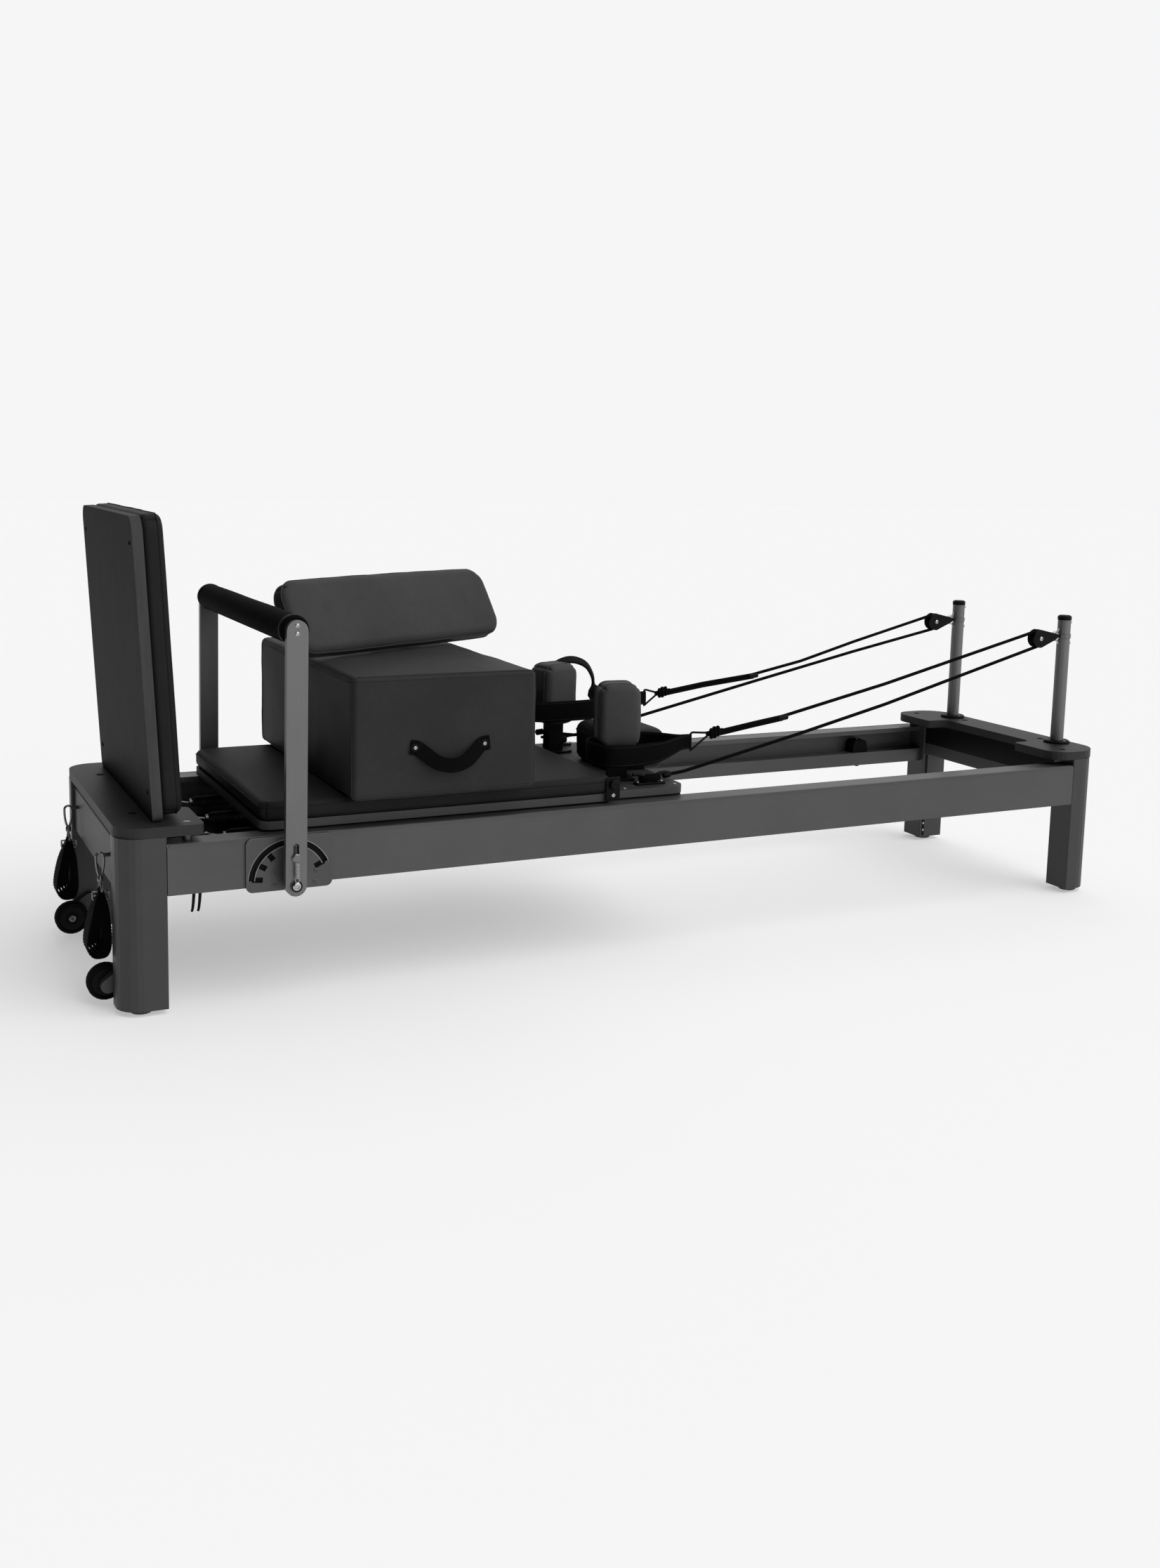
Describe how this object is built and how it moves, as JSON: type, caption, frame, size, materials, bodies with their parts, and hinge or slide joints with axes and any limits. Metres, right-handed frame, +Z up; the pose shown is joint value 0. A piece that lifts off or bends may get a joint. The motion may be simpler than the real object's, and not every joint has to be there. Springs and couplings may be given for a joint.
{
  "type": "pilates reformer",
  "caption": "Low exercise frame with a rolling padded carriage, foot bar, jump board, roped pulley risers, sitting box and loose pad.",
  "frame": {"origin": "centre of the footprint at floor level", "axes": "+X along the frame towards the pulley risers, +Y across it to the far side, +Z up"},
  "size_m": [2.496, 0.772, 0.9555],
  "materials": {
    "black_webbing": "woven webbing",
    "grey_board": "painted plywood, matt grey",
    "black_vinyl": "padded imitation leather, stitched",
    "black_rubber": "matt rubber",
    "anodised_frame": "dark satin anodised extrusion",
    "brushed_steel": "brushed, softly worn",
    "dark_plate": "dark laminated board, matt",
    "black_plastic": "matt moulded",
    "black_rope": "braided cord",
    "spring_steel": "coiled wire, plated"
  },
  "bodies": {
    "frame": {"carriage_stop_far": "black_rubber", "carriage_stop_near": "black_rubber", "crossbeam_foot": "anodised_frame", "crossbeam_head": "anodised_frame", "leg_foot_far": "anodised_frame", "leg_foot_near": "anodised_frame", "leg_head_far": "anodised_frame", "leg_head_near": "anodised_frame", "platform_bolt_far": "brushed_steel", "platform_bolt_near": "brushed_steel", "platform_foot": "dark_plate", "platform_head": "dark_plate", "pulley_housing_far": "black_plastic", "pulley_housing_near": "black_plastic", "quadrant_far": "brushed_steel", "quadrant_near": "brushed_steel", "rail_far": "anodised_frame", "rail_near": "anodised_frame", "riser_cap_far": "black_plastic", "riser_cap_near": "black_plastic", "riser_collar_far": "black_plastic", "riser_collar_near": "black_plastic", "riser_far": "brushed_steel", "riser_near": "brushed_steel", "rope_far": "black_rope", "rope_near": "black_rope", "spring_bar": "brushed_steel"},
    "jumpboard": {"jumpboard": "grey_board", "jumpboard_pad": "black_vinyl"},
    "footbar": {"footbar_arm_near": "brushed_steel", "footbar_arm_far": "brushed_steel", "footbar_grip": "black_vinyl"},
    "lock_near": {"lock_pin_near": "brushed_steel"},
    "lock_far": {"lock_pin_far": "brushed_steel"},
    "carriage": {"carriage_board": "grey_board", "carriage_pad": "black_vinyl", "spring_1": "spring_steel", "spring_2": "spring_steel", "spring_3": "spring_steel", "strap_near": "black_webbing", "strap_far": "black_webbing"},
    "headrest": {"headrest": "black_vinyl"},
    "rest_near": {"shoulder_rest_near": "black_vinyl", "rest_post_near": "black_plastic"},
    "rest_far": {"shoulder_rest_far": "black_vinyl", "rest_post_far": "black_plastic"},
    "roller_foot_near": {"roller_foot_near": "black_plastic"},
    "roller_foot_far": {"roller_foot_far": "black_plastic"},
    "roller_head_near": {"roller_head_near": "black_plastic"},
    "roller_head_far": {"roller_head_far": "black_plastic"},
    "box": {"sitting_box": "black_vinyl", "box_handle_near": "black_webbing", "box_handle_far": "black_webbing"},
    "extender": {"extender_pad": "black_vinyl"},
    "sheave_near": {"pulley_sheave_near": "black_plastic"},
    "sheave_far": {"pulley_sheave_far": "black_plastic"},
    "spare_near": {"spare_strap_near": "black_webbing"},
    "spare_far": {"spare_strap_far": "black_webbing"},
    "wheel_near": {"transport_wheel_near": "black_rubber"},
    "wheel_far": {"transport_wheel_far": "black_rubber"}
  },
  "joints": [
    {"name": "jumpboard_lift", "type": "slide", "parent": "frame", "child": "jumpboard", "axis": [0, 0, 1], "range_m": [0, 0.15]},
    {"name": "footbar_hinge", "type": "hinge", "parent": "frame", "child": "footbar", "pos_m": [-0.874, 0, 0.242], "axis": [0, 1, 0], "range_deg": [-20, 0]},
    {"name": "lock_pin_near", "type": "slide", "parent": "footbar", "child": "lock_near", "axis": [0, 0, 1], "range_m": [0, 0.022], "stiffness_N_per_m": 400, "springref_m": -0.005},
    {"name": "lock_pin_far", "type": "slide", "parent": "footbar", "child": "lock_far", "axis": [0, 0, 1], "range_m": [0, 0.022], "stiffness_N_per_m": 400, "springref_m": -0.005},
    {"name": "carriage_slide", "type": "slide", "parent": "frame", "child": "carriage", "axis": [1, 0, 0], "range_m": [0, 0.9], "deforming": ["rope_near", "rope_far"]},
    {"name": "headrest_tilt", "type": "hinge", "parent": "carriage", "child": "headrest", "pos_m": [-0.05, 0, 0.3545], "axis": [0, 1, 0], "range_deg": [-35, 0]},
    {"name": "shoulder_rest_lift_near", "type": "slide", "parent": "carriage", "child": "rest_near", "axis": [0, 0, 1], "range_m": [0, 0.07]},
    {"name": "shoulder_rest_lift_far", "type": "slide", "parent": "carriage", "child": "rest_far", "axis": [0, 0, 1], "range_m": [0, 0.07]},
    {"name": "roller_spin_foot_near", "type": "hinge", "parent": "carriage", "child": "roller_foot_near", "pos_m": [-0.83, -0.296, 0.293], "axis": [0, 1, 0], "continuous": true},
    {"name": "roller_spin_head_near", "type": "hinge", "parent": "carriage", "child": "roller_head_near", "pos_m": [-0.22, -0.296, 0.293], "axis": [0, 1, 0], "continuous": true},
    {"name": "roller_spin_foot_far", "type": "hinge", "parent": "carriage", "child": "roller_foot_far", "pos_m": [-0.83, 0.296, 0.293], "axis": [0, 1, 0], "continuous": true},
    {"name": "roller_spin_head_far", "type": "hinge", "parent": "carriage", "child": "roller_head_far", "pos_m": [-0.22, 0.296, 0.293], "axis": [0, 1, 0], "continuous": true},
    {"name": "box_lift", "type": "slide", "parent": "carriage", "child": "box", "axis": [0, 0, 1], "range_m": [0, 0.15]},
    {"name": "extender_lift", "type": "slide", "parent": "box", "child": "extender", "axis": [0, 0, 1], "range_m": [0, 0.15]},
    {"name": "sheave_spin_near", "type": "hinge", "parent": "frame", "child": "sheave_near", "pos_m": [1.1215, -0.207, 0.6443], "axis": [0, 1, 0], "continuous": true},
    {"name": "sheave_spin_far", "type": "hinge", "parent": "frame", "child": "sheave_far", "pos_m": [1.1215, 0.207, 0.6443], "axis": [0, 1, 0], "continuous": true},
    {"name": "spare_strap_swing_near", "type": "hinge", "parent": "frame", "child": "spare_near", "pos_m": [-1.216, -0.215, 0.295], "axis": [0, 1, 0], "range_deg": [0, 60]},
    {"name": "spare_strap_swing_far", "type": "hinge", "parent": "frame", "child": "spare_far", "pos_m": [-1.216, 0.215, 0.295], "axis": [0, 1, 0], "range_deg": [0, 60]},
    {"name": "wheel_spin_near", "type": "hinge", "parent": "frame", "child": "wheel_near", "pos_m": [-1.212, -0.225, 0.046], "axis": [0, 1, 0], "continuous": true},
    {"name": "wheel_spin_far", "type": "hinge", "parent": "frame", "child": "wheel_far", "pos_m": [-1.212, 0.225, 0.046], "axis": [0, 1, 0], "continuous": true}
  ],
  "couplings": [
    {"joint": "roller_spin_foot_near", "follows": "carriage_slide", "rad_per_m": 41.667},
    {"joint": "roller_spin_head_near", "follows": "carriage_slide", "rad_per_m": 41.667},
    {"joint": "roller_spin_foot_far", "follows": "carriage_slide", "rad_per_m": 41.667},
    {"joint": "roller_spin_head_far", "follows": "carriage_slide", "rad_per_m": 41.667}
  ]
}
